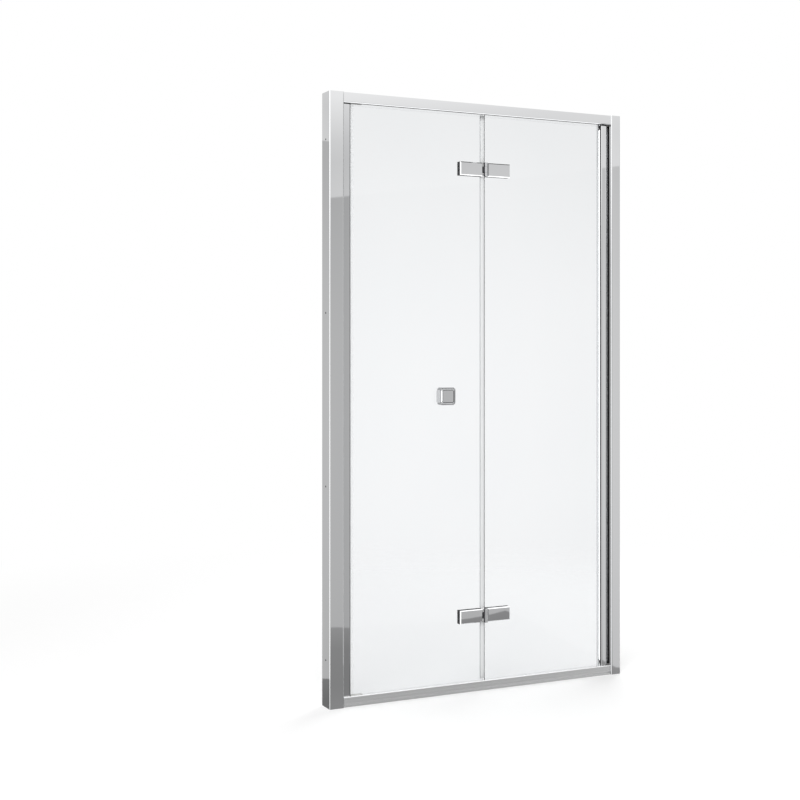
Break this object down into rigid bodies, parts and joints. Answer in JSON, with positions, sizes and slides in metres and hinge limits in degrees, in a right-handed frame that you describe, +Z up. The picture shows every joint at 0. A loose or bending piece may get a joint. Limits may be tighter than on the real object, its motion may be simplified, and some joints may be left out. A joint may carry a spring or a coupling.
{
  "type": "bifold shower door",
  "caption": "Framed bifold shower door for a niche: clear glass panels that fold inward on chrome hinges, guided by rollers in slotted rails, opened by a square knob.",
  "frame": {"origin": "underside of the bottom rail, halfway along the door, in the middle plane of the glass", "axes": "+X to the right as seen from the room, towards the pivot side; +Y into the shower; +Z up"},
  "size_m": [1.1, 0.067, 1.95],
  "materials": {
    "polished_aluminium": "bright polished, anodised",
    "chrome": "mirror chrome plate",
    "glass": "clear toughened",
    "clear_seal": "translucent flexible extrusion",
    "black_rubber": "matte",
    "magnet": "satin grey",
    "brush": "dark pile",
    "nylon": "moulded, fine grain",
    "steel": "machined stainless"
  },
  "bodies": {
    "frame": {"closing_wall_channel": "polished_aluminium", "pivot_wall_channel": "polished_aluminium", "closing_jamb": "polished_aluminium", "pivot_jamb": "polished_aluminium", "top_rail": "polished_aluminium", "bottom_rail": "polished_aluminium", "corner_block_top_left": "nylon", "corner_block_top_right": "nylon", "corner_block_bottom_left": "nylon", "corner_block_bottom_right": "nylon", "corner_screws": "steel", "closing_spacers": "nylon", "pivot_spacers": "nylon", "jamb_lock_screws": "steel", "closing_magnet_strip": "magnet", "stile_brush_seal": "brush", "top_pivot_block": "nylon", "bottom_pivot_block": "nylon", "pivot_block_screws": "steel", "pivot_thrust_washer": "nylon"},
    "pivot_panel": {"pivot_glass": "glass", "pivot_stile": "polished_aluminium", "stile_gasket": "black_rubber", "top_pivot_pin": "steel", "bottom_pivot_pin": "steel", "pivot_panel_sweep": "clear_seal", "upper_hinge_pivot_plate": "chrome", "lower_hinge_pivot_plate": "chrome", "upper_hinge_pivot_back_plate": "chrome", "lower_hinge_pivot_back_plate": "chrome", "pivot_hinge_pads": "clear_seal", "pivot_hinge_screws": "steel", "upper_hinge_pin": "steel", "lower_hinge_pin": "steel"},
    "fold_panel": {"fold_glass": "glass", "upper_hinge_fold_plate": "chrome", "lower_hinge_fold_plate": "chrome", "upper_hinge_fold_back_plate": "chrome", "lower_hinge_fold_back_plate": "chrome", "fold_hinge_pads": "clear_seal", "fold_hinge_screws": "steel", "fold_edge_seal": "clear_seal", "closing_edge_seal": "clear_seal", "fold_panel_sweep": "clear_seal", "top_guide_shoe": "nylon", "bottom_guide_shoe": "nylon", "top_guide_pin": "steel", "bottom_guide_pin": "steel", "outer_knob": "chrome", "inner_knob": "chrome", "knob_washers": "clear_seal", "knob_bolt": "steel"},
    "top_roller": {"top_guide_roller": "nylon"},
    "bottom_roller": {"bottom_guide_roller": "nylon"}
  },
  "joints": [
    {"name": "pivot_swing", "type": "hinge", "parent": "frame", "child": "pivot_panel", "pos_m": [0.5, 0, 0], "axis": [0, 0, -1], "range_deg": [0, 85]},
    {"name": "panel_fold", "type": "hinge", "parent": "pivot_panel", "child": "fold_panel", "pos_m": [0.021, -0.015, 0], "axis": [0, 0, 1], "range_deg": [0, 170]},
    {"name": "top_roller_spin", "type": "hinge", "parent": "fold_panel", "child": "top_roller", "pos_m": [-0.458, 0, 1.942], "axis": [0, 0, 1], "continuous": true},
    {"name": "bottom_roller_spin", "type": "hinge", "parent": "fold_panel", "child": "bottom_roller", "pos_m": [-0.458, 0, 0.008], "axis": [0, 0, 1], "continuous": true}
  ],
  "couplings": [
    {"joint": "panel_fold", "follows": "pivot_swing", "ratio": 2}
  ]
}
